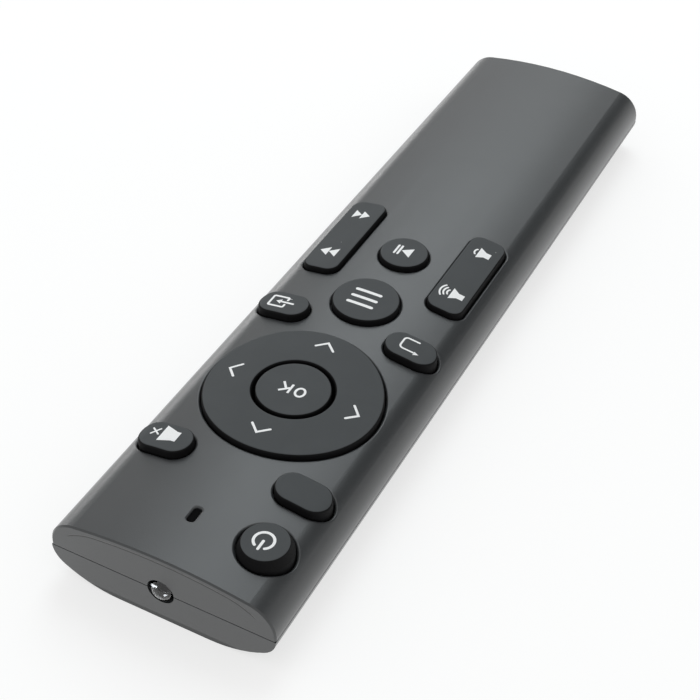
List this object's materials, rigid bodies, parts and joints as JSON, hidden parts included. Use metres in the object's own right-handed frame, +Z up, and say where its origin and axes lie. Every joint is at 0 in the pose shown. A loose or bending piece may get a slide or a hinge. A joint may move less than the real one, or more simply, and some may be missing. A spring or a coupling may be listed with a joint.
{
  "type": "projector remote control",
  "caption": "Slim oval handheld infrared remote with a crowned keypad top: round power key, oblong keys, tilting ring round a centre key, and long rocker keys.",
  "frame": {"origin": "centre of the base, on the surface that the remote rests on", "axes": "+Y towards the infrared front end, +Z up out of the keys, +X to the user's right"},
  "size_m": [0.044, 0.1809, 0.0165],
  "materials": {
    "case_plastic": "satin moulded ABS",
    "key_rubber": "matt black silicone with a coated top",
    "mat_silicone": "matt silicone sheet",
    "carbon": "matt conductive carbon",
    "board_laminate": "solder resist over laminate",
    "clear_epoxy": "clear cast epoxy",
    "red_epoxy": "diffused red epoxy",
    "smoked_plastic": "smoked clear plastic",
    "tinned_metal": "bright tin plate",
    "nickel_steel": "nickel plate",
    "zinc_steel": "zinc plate",
    "cell_jacket": "plain gloss sleeve over a steel can",
    "chip_epoxy": "moulded epoxy",
    "ceramic_body": "dipped coat",
    "capacitor_sleeve": "shrink sleeve"
  },
  "bodies": {
    "case": {"top_shell": "case_plastic", "bottom_shell": "case_plastic", "circuit_board": "board_laminate", "contact_pads": "carbon", "keypad_mat": "mat_silicone", "infrared_led": "clear_epoxy", "led_leads": "tinned_metal", "indicator_led": "red_epoxy", "light_pipe": "smoked_plastic", "battery_right": "cell_jacket", "battery_left": "cell_jacket", "positive_contact": "nickel_steel", "negative_contact": "nickel_steel", "link_contact": "nickel_steel", "front_spring": "nickel_steel", "rear_spring": "nickel_steel", "case_screw": "zinc_steel", "remote_chip": "chip_epoxy", "chip_pins": "tinned_metal", "resonator": "ceramic_body", "capacitor": "capacitor_sleeve", "transistor": "chip_epoxy", "resistors": "chip_epoxy"},
    "door": {"battery_door": "case_plastic"},
    "power": {"power_key": "key_rubber", "power_pill": "carbon"},
    "mute": {"mute_key": "key_rubber", "mute_pill": "carbon"},
    "blank": {"blank_key": "key_rubber", "blank_pill": "carbon"},
    "source": {"source_key": "key_rubber", "source_pill": "carbon"},
    "back": {"back_key": "key_rubber", "back_pill": "carbon"},
    "menu": {"menu_key": "key_rubber", "menu_pill": "carbon"},
    "play": {"play_key": "key_rubber", "play_pill": "carbon"},
    "ok": {"ok_key": "key_rubber", "ok_pill": "carbon"},
    "seek": {"seek_rocker": "key_rubber", "seek_pills": "carbon"},
    "volume": {"volume_rocker": "key_rubber", "volume_pills": "carbon"},
    "ring_carrier": {"ring_collar": "mat_silicone"},
    "ring": {"direction_ring": "key_rubber", "ring_pills": "carbon"}
  },
  "joints": [
    {"name": "door_slide", "type": "slide", "parent": "case", "child": "door", "axis": [0, -1, 0], "range_m": [0, 0.0635]},
    {"name": "power_press", "type": "slide", "parent": "case", "child": "power", "axis": [0, 0, -1], "range_m": [0, 0.0009], "stiffness_N_per_m": 900},
    {"name": "mute_press", "type": "slide", "parent": "case", "child": "mute", "axis": [0, 0, -1], "range_m": [0, 0.0009], "stiffness_N_per_m": 900},
    {"name": "blank_press", "type": "slide", "parent": "case", "child": "blank", "axis": [0, 0, -1], "range_m": [0, 0.0009], "stiffness_N_per_m": 900},
    {"name": "source_press", "type": "slide", "parent": "case", "child": "source", "axis": [0, 0, -1], "range_m": [0, 0.0009], "stiffness_N_per_m": 900},
    {"name": "back_press", "type": "slide", "parent": "case", "child": "back", "axis": [0, 0, -1], "range_m": [0, 0.0009], "stiffness_N_per_m": 900},
    {"name": "menu_press", "type": "slide", "parent": "case", "child": "menu", "axis": [0, 0, -1], "range_m": [0, 0.0009], "stiffness_N_per_m": 900},
    {"name": "play_press", "type": "slide", "parent": "case", "child": "play", "axis": [0, 0, -1], "range_m": [0, 0.0009], "stiffness_N_per_m": 900},
    {"name": "ok_press", "type": "slide", "parent": "case", "child": "ok", "axis": [0, 0, -1], "range_m": [0, 0.0009], "stiffness_N_per_m": 900},
    {"name": "seek_tip", "type": "hinge", "parent": "case", "child": "seek", "pos_m": [0.01388, -0.0033, 0.013], "axis": [1, 0, 0], "range_deg": [-3, 3], "stiffness_Nm_per_rad": 0.25},
    {"name": "volume_tip", "type": "hinge", "parent": "case", "child": "volume", "pos_m": [-0.01388, -0.0033, 0.013], "axis": [1, 0, 0], "range_deg": [-3, 3], "stiffness_Nm_per_rad": 0.25},
    {"name": "ring_tip_up_down", "type": "hinge", "parent": "case", "child": "ring_carrier", "pos_m": [0, 0.0445, 0.013], "axis": [1, 0, 0], "range_deg": [-2.5, 2.5], "stiffness_Nm_per_rad": 0.4},
    {"name": "ring_tip_left_right", "type": "hinge", "parent": "ring_carrier", "child": "ring", "pos_m": [0, 0.0445, 0.013], "axis": [0, 1, 0], "range_deg": [-2.5, 2.5], "stiffness_Nm_per_rad": 0.4}
  ]
}
